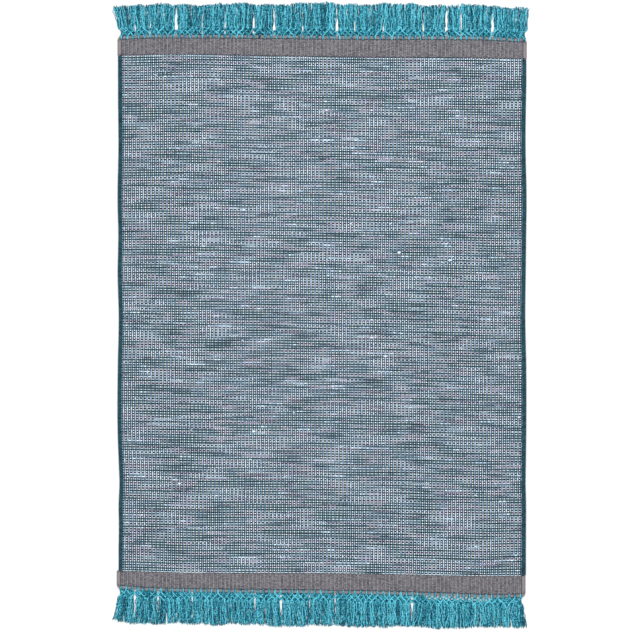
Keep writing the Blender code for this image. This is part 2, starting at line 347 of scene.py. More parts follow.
def yarn_noise(tree, along, yarn, length, apart, layer=0.0):
    """Noise along a numbered yarn in marks of about a length, less like its neighbour's the more apart."""
    place = place_at(tree, calc(tree, "DIVIDE", along, length), times(tree, yarn, apart), layer)
    return noise(tree, place)


def new_group(name, inputs, outputs):
    """A new shader node group's tree, and the sockets of its inputs and of its outputs, by name."""
    tree = bpy.data.node_groups.new(name, "ShaderNodeTree")
    for socket_name, kind, value in inputs:
        socket = tree.interface.new_socket(socket_name, in_out="INPUT", socket_type="NodeSocket" + kind)
        socket.default_value = value
    for socket_name, kind in outputs:
        tree.interface.new_socket(socket_name, in_out="OUTPUT", socket_type="NodeSocket" + kind)
    entry = tree.nodes.new("NodeGroupInput")
    leave = tree.nodes.new("NodeGroupOutput")
    return tree, entry.outputs, leave.inputs


def use_group(tree, group, inputs):
    """The outputs of a node group placed in a material, with its own values."""
    return shader_node(tree, "Group", inputs, node_tree=group).outputs


def cloth_finish(name, roughness, sheen):
    """A new matt yarn material: its tree, and its shader, with a soft fuzz that lights up at a low angle."""
    material = bpy.data.materials.new(name)
    material.use_nodes = True
    tree = material.node_tree
    shader = tree.nodes["Principled BSDF"]
    shader.inputs["Roughness"].default_value = roughness
    shader.inputs["Specular IOR Level"].default_value = 0.18
    shader.inputs["Sheen Weight"].default_value = sheen
    shader.inputs["Sheen Roughness"].default_value = 0.6
    return material, tree, shader


def raise_surface(tree, shader, height, strength, distance):
    """Let a height at each point show as relief."""
    bump = shader_node(tree, "Bump", {"Height": height, "Strength": strength, "Distance": distance})
    tree.links.new(bump.outputs[0], shader.inputs["Normal"])


def plain_weave_group():
    """Which yarn shows at a place counted in crossings, one warp wide and one pick high each.

    Ecru picks are thin and round. The dyed picks between them are fuller, and where an ecru pick dips under
    a warp they close over it from both sides. Weft is 1 where a weft lies on top and 0 on bare warp. Ecru is
    1 on an ecru float and 0 on dyed yarn, and in an ecru dip both show. Crown is 1 at the middle of a float
    or of a bare bit of warp, and falls towards its sides.
    """
    tree, given, out = new_group(
        "plain weave",
        [("Crossing", "Vector", (0.0, 0.0, 0.0)), ("Cover", "Float", 0.0)],
        [(name, "Float") for name in ("Weft", "Ecru", "Crown", "Ecru Pick", "Dyed Pick")],
    )
    parts = shader_node(tree, "SeparateXYZ", {0: given["Crossing"]}).outputs
    warp = calc(tree, "FLOOR", parts["X"])
    pick = calc(tree, "FLOOR", parts["Y"])
    from_warp = from_middle(tree, parts["X"])
    from_pick = from_middle(tree, parts["Y"])
    dips = calc(tree, "MODULO", calc(tree, "ADD", warp, pick), 2.0)
    ecru_row = opposite(tree, calc(tree, "MODULO", pick, 2.0))
    # Along the weft, the middle of the nearest float is from_warp away, or 1 less from_warp in a dip.
    turned = times(tree, dips, opposite(tree, times(tree, from_warp, 2.0)))
    from_float = calc(tree, "ADD", from_warp, turned)
    half_float = [between(tree, ecru_row, dyed, ecru) for dyed, ecru in zip(DYED_FLOAT, ECRU_FLOAT)]
    weft_crown = rounded(tree, (from_float, from_pick), half_float)
    in_ecru_dip = times(tree, dips, ecru_row)
    spread = rounded(tree, (from_warp, opposite(tree, from_pick)), DYED_SPREAD)
    spread = times(tree, in_ecru_dip, spread)
    closes = times(tree, in_ecru_dip, calc(tree, "GREATER_THAN", spread, weft_crown))
    warp_crown = rounded(tree, (from_warp, from_pick), BARE_WARP)
    in_dyed_dip = times(tree, dips, opposite(tree, ecru_row))
    bare = times(tree, in_dyed_dip, step_up(tree, warp_crown, -0.05, 0.2))
    bare = times(tree, bare, opposite(tree, given["Cover"]))
    crown = calc(tree, "MAXIMUM", weft_crown, spread)
    crown = calc(tree, "MAXIMUM", crown, times(tree, bare, warp_crown))
    crown = calc(tree, "MAXIMUM", crown, times(tree, given["Cover"], COVERED_CROWN))
    ecru = times(tree, ecru_row, between(tree, closes, 1.0, ECRU_IN_A_DIP))
    for name, value in (("Weft", opposite(tree, bare)), ("Ecru", ecru), ("Crown", crown)):
        tree.links.new(value, out[name])
    for name, shift in (("Ecru Pick", 0.5), ("Dyed Pick", -0.5)):
        number = calc(tree, "FLOOR", calc(tree, "DIVIDE", calc(tree, "ADD", parts["Y"], shift), 2.0))
        tree.links.new(number, out[name])
    return tree


def space_dye_group():
    """The colour of a weft dyed in long stretches, at a distance along a pick of a given number."""
    tree, given, out = new_group(
        "space dye",
        [("Along", "Float", 0.0), ("Pick", "Float", 0.0)],
        [("Colour", "Color")],
    )
    # Neighbouring picks share part of their stretches, because one length of yarn turns back beside itself.
    shared = yarn_noise(tree, given["Along"], given["Pick"], length=20.0, apart=0.15)
    own = yarn_noise(tree, given["Along"], given["Pick"], length=28.0, apart=3.7)
    stretch = calc(tree, "MULTIPLY_ADD", own, 0.6, times(tree, shared, 0.4))
    dyed = ramp_through(tree, stretch, DYES)
    lilac = yarn_noise(tree, given["Along"], given["Pick"], length=20.0, apart=0.8, layer=7.0)
    lilac = times(tree, step_up(tree, lilac, *LILAC_FROM), LILAC_SHARE)
    tree.links.new(mix_colours(tree, lilac, dyed, DYE_LILAC), out["Colour"])
    return tree


def twist_group():
    """Two plies twisted together: a shade and a height, from a place around and along a yarn."""
    tree, given, out = new_group(
        "yarn twist",
        [("Around", "Float", 0.0), ("Along", "Float", 0.0), ("Turns", "Float", 1.0)],
        [("Height", "Float"), ("Shade", "Float")],
    )
    turn = calc(tree, "ADD", given["Around"], times(tree, given["Along"], given["Turns"]))
    ply = calc(tree, "ABSOLUTE", calc(tree, "SINE", times(tree, turn, 2 * math.pi)))
    height = calc(tree, "POWER", ply, 0.6)
    tree.links.new(height, out["Height"])
    tree.links.new(step_up(tree, height, 0.1, 0.7), out["Shade"])
    return tree


plain_weave = plain_weave_group()
space_dye = space_dye_group()
yarn_twist = twist_group()


def field_finish():
    """Ecru and space-dyed wefts over a dark warp, with unbroken and sunken stretches of pick."""
    material, tree, shader = cloth_finish("mottled_weave", 0.88, 0.1)
    crossing, along, up = uv_place(tree, "weave")
    # Here and there a pick packs down over the warps and shows as an unbroken line, or sinks out of sight and
    # is painted darker there, as shade.
    run = yarn_noise(tree, along, calc(tree, "FLOOR", up), length=20.0, apart=2.3)
    unbroken = step_up(tree, run, *UNBROKEN_FROM)
    sunken = opposite(tree, step_up(tree, run, *SUNKEN_BELOW))
    # The first pick along a seam is held up by the stitches, and covers the warps there in part.
    from_seam = calc(tree, "MINIMUM", up, calc(tree, "SUBTRACT", PICKS - 1.0, up))
    first_pick = calc(tree, "LESS_THAN", from_seam, 1.0)
    first_pick = times(tree, first_pick, step_up(tree, run, *COVERED_AT_SEAM_FROM))
    foot_half = calc(tree, "LESS_THAN", up, PICKS / 2)
    seam_cover = between(tree, foot_half, HEAD_SEAM_COVER, FOOT_SEAM_COVER)
    covered = calc(tree, "MAXIMUM", unbroken, times(tree, first_pick, seam_cover))
    woven = use_group(tree, plain_weave, {"Crossing": crossing, "Cover": covered})
    dye = use_group(tree, space_dye, {"Along": along, "Pick": woven["Dyed Pick"]})
    # Each ecru pick is a little darker in some stretches along it.
    ecru_stretch = yarn_noise(tree, along, woven["Ecru Pick"], length=9.0, apart=3.1, layer=3.0)
    ecru = mix_colours(tree, step_up(tree, ecru_stretch, 0.4, 0.6), ECRU_SHADED, ECRU)
    weft = mix_colours(tree, woven["Ecru"], dye["Colour"], ecru)
    # Bare warp is near-black: its own dark colour, and painted shade in the dips where it shows.
    yarn = mix_colours(tree, woven["Weft"], WARP_AND_DIP_SHADE, weft)
    # Yarn is darker in the dips between the crowns, where little light gets in, and no two floats are alike.
    fibre = noise(tree, crossing, scale=2.6, detail=3.0, roughness=0.7)
    own = each_its_own(tree, crossing)
    light = between(tree, step_up(tree, woven["Crown"], 0.0, 0.35), *CROWN_LIGHT)
    lights = ((sunken, SUNKEN_LIGHT), (unbroken, UNBROKEN_LIGHT), (fibre, FIBRE_LIGHT), (own, FLOAT_LIGHT))
    for share, dark_and_bright in lights:
        light = times(tree, light, between(tree, share, *dark_and_bright))
    shaded = darkened(tree, yarn, light, clamp_result=True)
    slub_place = place_at(tree, along, times(tree, up, 1.6), 11.0)
    slub = step_up(tree, noise(tree, slub_place, scale=0.23), *SLUB_FROM)
    tree.links.new(mix_colours(tree, slub, shaded, ECRU), shader.inputs["Base Color"])
    twist = use_group(tree, yarn_twist, {"Around": up, "Along": along, "Turns": 1.5})
    height = calc(tree, "MULTIPLY_ADD", twist["Height"], 0.16, calc(tree, "MAXIMUM", woven["Crown"], 0.0))
    height = calc(tree, "MULTIPLY_ADD", fibre, 0.2, height)
    raise_surface(tree, shader, height, strength=0.5, distance=0.8 * MM)
    return material


def woven_sheet():
    """The field as one closed sheet, with a point at every crossing, raised where a weft is on top."""
    left_line, right_line = border("field", 1, 0, -1), border("field", 1, 0, 1)
    foot_line, head_line = border("field", 0, 1, -1), border("field", 0, 1, 1)
    low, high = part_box("field")
    u = np.linspace(0, 1, WARPS)[None, :]
    v = np.linspace(0, 1, PICKS)[:, None]
    first_x = low[0] + (high[0] - low[0]) * u
    inside = np.minimum(np.minimum(u, 1 - u) / STEADY_EDGE[0], np.minimum(v, 1 - v) / STEADY_EDGE[1])
    inside = np.minimum(inside, 1)
    y = smooth(first_x, foot_line) * (1 - v) + smooth(first_x, head_line) * v
    y = y + inside * WEFT_WAVER * waver(first_x, y, long=0.35, short=0.5, seed=3)
    x = smooth(y, left_line) * (1 - u) + smooth(y, right_line) * u
    x = x + inside * WARP_WAVER * waver(x, y, long=0.3, short=0.6, seed=5)
    chance = np.random.default_rng(31)
    x = x + inside * uneven(chance, WARPS, PICKS, stretch=40).T * WARP_UNEVEN
    y = y + inside * uneven(chance, PICKS, WARPS, stretch=24) * PICK_UNEVEN
    warp = np.arange(WARPS)[None, :]
    pick = np.arange(PICKS)[:, None]
    z = WEAVE_TOP + np.where((warp + pick) % 2 == 0, FLOAT_RISE, -FLOAT_RISE)
    top = np.stack((x, y, z), axis=-1).reshape(-1, 3)
    number = np.arange(WARPS * PICKS).reshape(PICKS, WARPS)
    rim = np.concatenate((number[0], number[1:, -1], number[-1, -2::-1], number[-2:0:-1, 0]))
    bottom = top[rim] * (1, 1, 0)
    below = len(top) + np.arange(len(rim))
    sides = np.stack((rim, below, np.roll(below, -1), np.roll(rim, -1)), axis=1)
    faces = grid_faces(PICKS, WARPS).tolist() + sides.tolist() + [below[::-1].tolist()]
    piece = new_piece("woven_field", np.concatenate((top, bottom)), faces, field_finish())
    crossing = np.stack(np.broadcast_arrays(warp + 0.5, pick + 0.5), axis=-1).reshape(-1, 2)
    crossing = np.concatenate((crossing, crossing[rim]))
    add_uv(piece, "weave", crossing[corner_points(piece)])
    return piece


woven_field = woven_sheet()
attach(woven_field, "root")
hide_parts("field")

# BANDS
# The grey cloth across each end of the rug: fine pinkish ribs over the same warps. Its raw end is turned
# under and stitched down with dark thread, so that a rounded lip is left beyond a groove, and each of its
# short ends is overcast in a paler grey.
ENDS = {"head": 1, "foot": -1}  # which way is outwards along Y
RIBS = 209
STEPS_A_RIB = 4
RIB_RELIEF = 0.45  # this and the next sizes are millimetres
LIP_DEPTH = 11.6  # of band between its edge and where it lies level
GROOVE_IN = 9.7  # from the edge to the bottom of the groove
BAND_REACH = 60.0  # what the distance to the seam is counted as in the pattern, all along it
BAND_LEVEL = 7.0
LEVEL_SHARES = np.array((0.25, 0.5, 0.75, 1.0))  # of the way from the groove to the seam, a point at each
SEAM_CHAMFER = (0.9, 1.1)  # across and down
OVERCAST_WIDTH = 9.7
OVERCAST_PITCH = 2.8
# How much each of these lightens a rib, between BAND_DARK at 0 and BAND_LIGHT at 1.
# Painted light and shade: a rib is lighter on its crest and darker in its valleys.
CREST_PAINTED_LIGHT = 0.5
RIB_TONE = 0.16
OTHER_RIB_TONE = 0.26
FLECK_TONE = 2.2
SPECK_TONE = 0.6
SPECK_LENGTH = 2.4
LIP_TONE = 0.45
BAND_LIGHT = colour(135, 132, 137)
BAND_DARK = colour(64, 64, 70)
OVERCAST_GREY = colour(139, 131, 133)
BAND_SHADE = colour(46, 51, 60)
STITCH_DARK = colour(30, 51, 60)
YARN_MOTTLE = 0.75  # how far a yarn's tone swings along it
YARN_FLECK = 2.0  # and from fibre to fibre
# From its underside out over the lip and the groove: (in from the edge, height).
LIP_MM = np.array((
    (3.2, 0), (1.2, 1.2), (0.3, 2.6), (0, 4.2), (0.6, 5.4), (1.6, 6.9), (3.2, 8.2), (4.8, 8.6), (6.5, 8.3),
    (8, 7.2), (9, 5.6), (GROOVE_IN, 5.3), (10.6, 6.3), (LIP_DEPTH, BAND_LEVEL),
))
UNDER_LIP = (-3, -1.5, -0.5)  # what its three lowest points count as from the edge in the pattern
LIP_FADE = (6.5, 8.5)
# The greatest height of the cloth near a short end, as round as the lip is: (from the end, height).
END_HEIGHT_MM = np.vstack((LIP_MM[3:10], (9, BAND_LEVEL)))
# How far the lip draws back near a short end: (from the end, drawn back).
END_PULL_MM = np.array(((0, 9), (1.6, 6.6), (4.8, 1.6), (8, 0.5), (9.7, 0)))
STITCH_RADIUS = 0.9 * MM
STITCH_HEIGHT = 5.7  # this and the next are millimetres
STITCH_WAVE = 0.7
RIBS_BESIDE_STITCHES = 2  # left unstitched at each short end
STEPS_A_STITCH = 3


def band_lines(end):
    """The edge and the seam of a band, and which way is outwards along Y."""
    outward = ENDS[end]
    return border(f"{end}_band", 0, 1, outward), border(f"{end}_band", 0, 1, -outward), outward


def set_point_values(piece, name, values):
    """A named number at each point of a mesh."""
    attribute = piece.data.attributes.new(name, "FLOAT", "POINT")
    attribute.data.foreach_set("value", np.asarray(values, np.float32).ravel())


def rib_noise(tree, rib, from_edge, apart, length):
    """Noise along the ribs in marks of about a length."""
    place = place_at(tree, times(tree, rib, apart), calc(tree, "DIVIDE", from_edge, length))
    return noise(tree, place)


def swing(tree, tone, chance, middle, strength):
    """A tone moved up and down by a value that lies around a middle."""
    return calc(tree, "ADD", tone, times(tree, calc(tree, "SUBTRACT", chance, middle), strength))


def band_finish():
    """Grey ribs with darker flecks, overcast across the short ends, with painted shade in the rib valleys,
    between the overcast turns, in the groove, beside the overcast ends and along the seam.
    """
    material, tree, shader = cloth_finish("ribbed_band", 0.88, 0.1)
    _, across, from_edge = uv_place(tree, "weave")
    from_end = shader_node(tree, "Attribute", attribute_name="from_end").outputs["Fac"]
    rib = calc(tree, "FLOOR", across)
    # Painted light and shade: each rib is lighter on its crest and darker in its valleys.
    crest = opposite(tree, times(tree, from_middle(tree, across), 2.0))
    own = step_up(tree, rib_noise(tree, rib, from_edge, apart=3.7, length=45.0), 0.35, 0.65)
    fleck = rib_noise(tree, across, from_edge, apart=2.1, length=2.8)
    speck = each_its_own(tree, place_at(tree, rib, calc(tree, "DIVIDE", from_edge, SPECK_LENGTH)))
    tone = calc(tree, "MULTIPLY_ADD", own, RIB_TONE, times(tree, crest, CREST_PAINTED_LIGHT))
    tone = swing(tree, tone, fleck, 0.5, FLECK_TONE)
    tone = swing(tree, tone, speck, 0.53, SPECK_TONE)
    tone = calc(tree, "MULTIPLY_ADD", calc(tree, "PINGPONG", rib, 1.0), OTHER_RIB_TONE, tone)
    on_lip = opposite(tree, step_up(tree, from_edge, *LIP_FADE))
    tone = calc(tree, "MULTIPLY_ADD", on_lip, LIP_TONE, tone)
    ribbed = mix_colours(tree, tone, BAND_DARK, BAND_LIGHT)
    turn = calc(tree, "SINE", times(tree, from_edge, math.pi / OVERCAST_PITCH))
    turn = calc(tree, "ABSOLUTE", turn)
    overcast = opposite(tree, step_up(tree, from_end, OVERCAST_WIDTH - 1, OVERCAST_WIDTH + 1))
    # Painted shade between the overcast turns: each turn is darker where it meets the next.
    wraps_with_shade = darkened(tree, OVERCAST_GREY, between(tree, turn, 0.7, 1.0))
    cloth = mix_colours(tree, overcast, ribbed, wraps_with_shade)
    # The cloth is painted darker in the groove and beside the overcast ends, as shade.
    beside_end = calc(tree, "ABSOLUTE", calc(tree, "SUBTRACT", from_end, OVERCAST_WIDTH + 1.6))
    in_groove = calc(tree, "ABSOLUTE", calc(tree, "SUBTRACT", from_edge, GROOVE_IN))
    hollow_shade = opposite(tree, step_up(tree, calc(tree, "MINIMUM", beside_end, in_groove), 0.5, 2.0))
    cloth = mix_colours(tree, times(tree, hollow_shade, 0.55), cloth, BAND_SHADE)
    # Where the first pick of the field dips under a rib, the seam is a hole, painted dark as shadow, and the
    # rest of the seam is painted a little darker too.
    dips = calc(tree, "FRACT", times(tree, across, 0.5))
    dips = calc(tree, "GREATER_THAN", dips, 0.5)
    at_seam = step_up(tree, from_edge, BAND_REACH - 2.6, BAND_REACH - 1.2)
    seam_shadow = times(tree, at_seam, between(tree, dips, 0.3, 0.9))
    tree.links.new(mix_colours(tree, seam_shadow, cloth, BAND_SHADE), shader.inputs["Base Color"])
    height = mix_colours(tree, overcast, calc(tree, "MULTIPLY_ADD", fleck, 0.8, crest), turn)
    raise_surface(tree, shader, height, strength=0.5, distance=0.5 * MM)
    return material


def ring_faces(rings, points_a_ring, way):
    """The faces of a closed tube of rings and its two caps, turned over where way is -1."""
    number = np.arange(rings * points_a_ring).reshape(rings, points_a_ring)
    after = np.roll(number, -1, 1)
    sides = np.stack((number[:-1], after[:-1], after[1:], number[1:]), axis=-1).reshape(-1, 4)[:, ::way]
    return sides.tolist() + [number[0][::-way].tolist(), number[-1][::way].tolist()]


def band_cloth(end, material):
    """One band as a closed ribbed cloth, in rings across it from one short end to the other."""
    edge_line, seam_line, outward = band_lines(end)
    low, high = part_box(f"{end}_band")
    u = np.linspace(0, RIBS, RIBS * STEPS_A_RIB + 1)
    x = low[0] + (high[0] - low[0]) * u / RIBS
    from_end = np.minimum(x - low[0], high[0] - x) / MM
    allowed = np.interp(from_end, *END_HEIGHT_MM.T)[:, None]
    pull = np.interp(from_end, *END_PULL_MM.T)[:, None]
    edge = outward * smooth(x, edge_line)[:, None] / MM
    seam = outward * smooth(x, seam_line)[:, None] / MM
    level_start = edge - pull - LIP_DEPTH
    level_y = level_start + (seam + SEAM_CHAMFER[0] - level_start) * LEVEL_SHARES
    ring_y = np.concatenate((edge - pull - LIP_MM[:, 0], level_y, seam, seam), axis=1)
    lip_z = np.minimum(LIP_MM[:, 1], allowed)
    level_z = np.repeat(allowed, len(LEVEL_SHARES), axis=1)
    ring_z = np.concatenate((lip_z, level_z, allowed - SEAM_CHAMFER[1], allowed * 0), axis=1)
    # Between two ribs, the cloth dips square to its own run around the lip.
    run_y = np.roll(ring_y, -1, 1) - np.roll(ring_y, 1, 1)
    run_z = np.roll(ring_z, -1, 1) - np.roll(ring_z, 1, 1)
    dip = (1 - np.cos(2 * math.pi * u[:, None])) / 2 * (ring_z > 0) * (from_end[:, None] > OVERCAST_WIDTH)
    dip = dip * RIB_RELIEF / np.hypot(run_y, run_z)
    ring_y = ring_y + dip * run_z
    ring_z = ring_z - np.abs(dip * run_y)
    size = ring_y.shape
    points = np.stack((np.broadcast_to(x[:, None], size), outward * ring_y * MM, ring_z * MM), axis=-1)
    piece = new_piece(f"{end}_band_cloth", points.reshape(-1, 3), ring_faces(*size, outward), material)
    level_distances = LIP_DEPTH + (BAND_REACH - 1 - LIP_DEPTH) * LEVEL_SHARES
    distances = np.concatenate((UNDER_LIP, LIP_MM[3:, 0], level_distances, (BAND_REACH, BAND_REACH)))
    pattern = np.stack(np.broadcast_arrays(u[:, None], distances[None, :]), axis=-1).reshape(-1, 2)
    add_uv(piece, "weave", pattern[corner_points(piece)])
    set_point_values(piece, "from_end", np.repeat(from_end, size[1]))
    return piece


def tubes(name, paths, radii, tones, material, sideways, sides):
    """Many round yarns in one mesh, from their paths. Their UV map counts turns around and metres along."""
    count, steps = paths.shape[:2]
    run = np.gradient(paths, axis=1)
    run /= np.linalg.norm(run, axis=2, keepdims=True)
    beside = sideways - run * (run @ np.asarray(sideways, float))[..., None]
    beside /= np.linalg.norm(beside, axis=2, keepdims=True)
    upward = np.cross(run, beside)
    angle = 2 * math.pi * np.arange(sides) / sides
    ring = beside[:, :, None] * np.cos(angle)[:, None] + upward[:, :, None] * np.sin(angle)[:, None]
    points = paths[:, :, None] + ring * np.broadcast_to(radii, (count, steps))[..., None, None]
    number = np.arange(count * steps * sides).reshape(count, steps, sides)
    after = np.roll(number, -1, 2)
    faces = np.stack((number[:, :-1], after[:, :-1], after[:, 1:], number[:, 1:]), axis=-1).reshape(-1, 4)
    caps = number[:, 0, ::-1].tolist() + number[:, -1].tolist()
    piece = new_piece(name, points.reshape(-1, 3), faces.tolist() + caps, material)
    around = np.arange(sides) / sides
    around = np.stack((around, around + 1 / sides, around + 1 / sides, around), axis=-1)
    along = np.cumsum(np.linalg.norm(np.diff(paths, axis=1, prepend=paths[:, :1]), axis=2), axis=1)
    along = np.stack((along[:, :-1], along[:, :-1], along[:, 1:], along[:, 1:]), axis=-1)[:, :, None]
    size = (count, steps - 1, sides, 4)
    strand = np.stack((np.broadcast_to(around, size), np.broadcast_to(along, size)), axis=-1).reshape(-1, 2)
    add_uv(piece, "strand", np.concatenate((strand, np.zeros((len(piece.data.loops) - len(strand), 2)))))
    tones = np.broadcast_to(np.reshape(tones, (count, -1)), (count, steps))
    set_point_values(piece, "tone", np.repeat(tones, sides))
    return piece


def yarn_finish(name, marks, turns, roughness, sheen):
    """Twisted yarn, each with its own tone and mottled along. Its marks are pairs of a tone and a colour."""
    material, tree, shader = cloth_finish(name, roughness, sheen)
    _, around, along = uv_place(tree, "strand")
    along = calc(tree, "DIVIDE", along, MM)
    tone = shader_node(tree, "Attribute", attribute_name="tone").outputs["Fac"]
    mottle = yarn_noise(tree, along, tone, length=14.0, apart=90.0)
    tone = swing(tree, tone, mottle, 0.5, YARN_MOTTLE)
    object_place = shader_node(tree, "TexCoord").outputs["Object"]
    fleck = noise(tree, object_place, scale=230.0, detail=2.0, roughness=0.6)
    tone = swing(tree, tone, fleck, 0.5, YARN_FLECK)
    twist = use_group(tree, yarn_twist, {"Around": around, "Along": along, "Turns": turns})
    yarn = darkened(tree, ramp_through(tree, tone, marks), between(tree, twist["Shade"], 0.7, 1.0))
    tree.links.new(yarn, shader.inputs["Base Color"])
    raise_surface(tree, shader, twist["Height"], strength=0.4, distance=0.3 * MM)
    return material


def stitching(end, material):
    """The dark running stitch in a band's groove, a wave that dives into the cloth between its stitches."""
    edge_line, _, outward = band_lines(end)
    low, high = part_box(f"{end}_band")
    stitches = RIBS - 2 * RIBS_BESIDE_STITCHES
    t = np.linspace(0, stitches, stitches * STEPS_A_STITCH + 1)
    x = low[0] + (high[0] - low[0]) * (t + RIBS_BESIDE_STITCHES) / RIBS
    y = smooth(x, edge_line) - outward * GROOVE_IN * MM
    z = (STITCH_HEIGHT + STITCH_WAVE * np.cos(2 * math.pi * t)) * MM
    path = np.stack((x, y, z), axis=-1)[None]
    return tubes(f"{end}_stitching", path, STITCH_RADIUS, [0.5], material, sideways=(0, 1, 0), sides=5)


band_material = band_finish()
stitch_marks = ((0.2, STITCH_DARK), (0.8, STITCH_DARK))
stitch_material = yarn_finish("dark_stitching", stitch_marks, turns=0.3, roughness=0.8, sheen=0.1)
for end in ENDS:
    band = band_cloth(end, band_material)
    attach(band, "root")
    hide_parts(f"{end}_band")
    stitches = stitching(end, stitch_material)
    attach(stitches, "root")
    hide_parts(f"{end}_band")

# BINDINGS
# The two long sides of the field, overcast with dark petrol yarn. Several hundred turns of it lie close
# together around the last warps, which are padded out into a cord.
SIDES = {"left": -1, "right": 1}  # which way is outwards along X
TURN_PITCH = 2.8 * MM
TURN_RADIUS = 1.4 * MM
TURN_SLANT = 1.2 * MM
TURN_STRAY = 0.25 * MM  # of each turn along the side
TURNS_FROM_END = 1.6 * MM
TURN_TONE = (0.5, 0.18)  # its middle, and how far it strays from turn to turn
PADDING_RINGS = 90
BINDING_WIDTH = 12.5  # millimetres
# One turn, from inside the field up over the padding, round the outside and back under: (out, height).
TURN_MM = np.array((
    (-0.4, 4.2), (0.7, 5.9), (3.2, 6.6), (6.6, 6.7), (9.6, 6.3),
    (11, 4.6), (10.8, 2.8), (9.2, 1.5), (5.5, 1.4),
))
# The padding, round its own section.
PADDING_MM = np.array((
    (0.2, 1.2), (2, 0.3), (9.6, 0.3), (10.8, 2.6), (10.8, 4.8), (9.2, 6.5), (3, 6.7), (0.6, 5.4)
))
PETROL_LIGHT = colour(51, 92, 106)
PETROL_MID = colour(34, 79, 93)
PETROL_DARK = colour(22, 54, 69)


def binding_places(side_name, section, y):
    """The points of a section, in millimetres out from the binding's inner side, at places along it."""
    outward = SIDES[side_name]
    outside = smooth(y, border(f"{side_name}_binding", 1, 0, outward))
    x = outside - outward * (BINDING_WIDTH - section[:, 0]) * MM
    return np.stack((x, y, np.broadcast_to(section[:, 1] * MM, x.shape)), axis=-1)


def padding(side_name, material):
    """The cord of padded warps inside the turns."""
    low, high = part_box(f"{side_name}_binding")
    y = np.linspace(low[1] + MM, high[1] - MM, PADDING_RINGS)[:, None]
    y = np.repeat(y, len(PADDING_MM), axis=1)
    points = binding_places(side_name, PADDING_MM, y).reshape(-1, 3)
    piece = new_piece(f"{side_name}_padding", points, ring_faces(*y.shape, SIDES[side_name]), material)
    set_point_values(piece, "tone", np.zeros(y.size))
    return piece


def turns_of_yarn(side_name, material, chance):
    """The overcast turns, each a bent bit of yarn that slants a little along the side."""
    low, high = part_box(f"{side_name}_binding")
    middles = np.arange(low[1] + TURNS_FROM_END, high[1] - TURNS_FROM_END, TURN_PITCH)
    middles = middles + chance.uniform(-1, 1, len(middles)) * TURN_STRAY
    y = middles[:, None] + TURN_SLANT * np.linspace(-0.5, 0.5, len(TURN_MM))
    paths = binding_places(side_name, TURN_MM, y)
    tones = np.clip(chance.normal(*TURN_TONE, len(middles)), 0, 1)
    return tubes(f"{side_name}_turns", paths, TURN_RADIUS, tones, material, sideways=(0, 1, 0), sides=6)


petrol_marks = ((0.15, PETROL_DARK), (0.5, PETROL_MID), (0.95, PETROL_LIGHT))
petrol_yarn = yarn_finish("petrol_yarn", petrol_marks, turns=0.2, roughness=0.85, sheen=0.02)
for seed, side_name in enumerate(SIDES, start=21):
    turns = turns_of_yarn(side_name, petrol_yarn, np.random.default_rng(seed))
    for piece in (padding(side_name, petrol_yarn), turns):
        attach(piece, "root")
        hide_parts(f"{side_name}_binding")

# FRINGES
# Bundles of teal yarn, each hooked over a lip. A bundle's two halves cross those of the next bundles
# into a net, and then hang loose. The loose threads lean out at the corners and end a little unevenly.
TIES = 71
LOCKS = 2 * TIES
THREADS = 7  # in each half of a tie, and so in each lock
THREAD_RADIUS = 0.95  # this and the next sizes are millimetres
UNDER_RADIUS = 1.6
STRAIGHT_TIES = (10, 60)  # the locks between these hang straight out, and lean from there to the corners
ROOT_LEAN = 0.4  # of the lean between a lock's widest ring and its tip, that it has before that ring
LOCK_RINGS = ((35, 70), (75, 130))  # how far from the lip the solid's locks are widest, and end
# From the lip to where a tie's halves have split, to their two crossings and to where the threads hang free.
CROSSINGS_MM = {"head": (3.2, 9.5, 16.5, 23), "foot": (4, 11, 18, 25)}
SPLIT_MM = {"head": 3.2, "foot": 2.4}  # of each half, sideways
TIES_AWAY = (0.5, 1)  # from a half's own tie to its crossings
# From thread to thread in a half.
THREAD_GAPS = {"hook": 0.5, "split": 0.45, "crossing": 0.32, "net's end": 1.0, "free": 1.25}
SPLIT_SLANT = 0.22  # how much later each of these threads turns than its neighbour
CROSSING_SLANT = 0.36
NET_HEIGHTS = (3.2, 2.7, 2.2)  # of the split, the crossings and where the threads hang free
UPPER_LIFT = 1.1  # of every other thread, which lies on its neighbours
CROSSING_LIFT = 0.9  # of the half that passes over, and as much down for the one that passes under
CROSSING_STRAY = 0.6
END_ROOM = 0.1  # of a tie's width, by which the net reaches past the first and the last tie
THREAD_TONE = (0.44, 0.24)  # its middle, and how far it strays from thread to thread
THREAD_TONE_ALONG = 0.16  # how far it strays along each
# The threads that lie on their neighbours are painted lighter, as painted light.
UPPER_PAINTED_LIGHT = 0.22  # added to every other thread
# The threads underneath are painted dark, as the shade in the net's gaps: the middle of their tone, and how far
# it strays.
UNDER_SHADE_TONE = (0.22, 0.14)
# Tones added along the threads from the hook to where they hang free, at these control points: painted shade
# near the lip, deeper at the head, and a little painted light in the foot's net.
TONE_POINTS = (0, 4, 6, 8, 9, 11)
NET_LIGHT_AND_SHADE = {"head": (-0.12, -0.08, -0.06, -0.05, -0.07, 0), "foot": (-0.1, -0.02, 0.03, 0.03, 0, 0)}
# Painted light: the threads underneath are lighter at the lip, where the net's first gaps are lit, more at the
# foot.
UNDER_LIGHT_AT_LIP = {"head": 0.2, "foot": 0.45}  # added at the lip to the threads that lie underneath
TEAL_LIGHT = colour(110, 213, 232)
TEAL_MID = colour(38, 137, 158)
TEAL_DARK = colour(6, 86, 108)
TEAL_DARKEST = colour(2, 50, 68)
